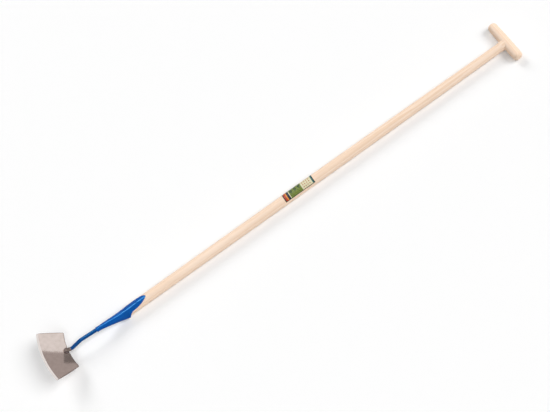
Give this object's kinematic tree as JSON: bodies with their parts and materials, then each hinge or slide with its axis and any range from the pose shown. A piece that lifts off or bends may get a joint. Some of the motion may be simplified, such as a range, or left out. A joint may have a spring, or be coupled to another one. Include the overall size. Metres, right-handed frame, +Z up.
{
  "type": "dutch hoe",
  "caption": "Push hoe with a flat, slanted blade on a swan neck, a rolled socket with a long tongue, and a straight ash shaft with a crosspiece.",
  "frame": {"origin": "middle of the bounding box, on the ground that the hoe lies on with its blade up", "axes": "+X along the shaft from the blade to the crosspiece, +Y along the crosspiece, +Z up"},
  "size_m": [1.5692, 0.16, 0.0834],
  "materials": {
    "blade": "rolled stainless plate, ground along the front edge",
    "blade_weld": "bare weld, browned by heat",
    "neck": "gloss blue enamel, bare and browned at the foot",
    "socket_weld": "gloss blue enamel over the bead",
    "socket": "gloss blue enamel",
    "socket_nail": "gloss blue enamel",
    "shaft": "turned ash under clear satin varnish",
    "t_grip": "turned ash under clear satin varnish",
    "tenon_wedge": "split hardwood, end sanded flush",
    "label": "coated paper, printed"
  },
  "bodies": {
    "root": {"blade": "blade", "blade_weld": "blade_weld", "neck": "neck", "socket_weld": "socket_weld", "socket": "socket", "socket_nail": "socket_nail", "shaft": "shaft", "t_grip": "t_grip", "tenon_wedge": "tenon_wedge", "label": "label"}
  },
  "joints": []
}
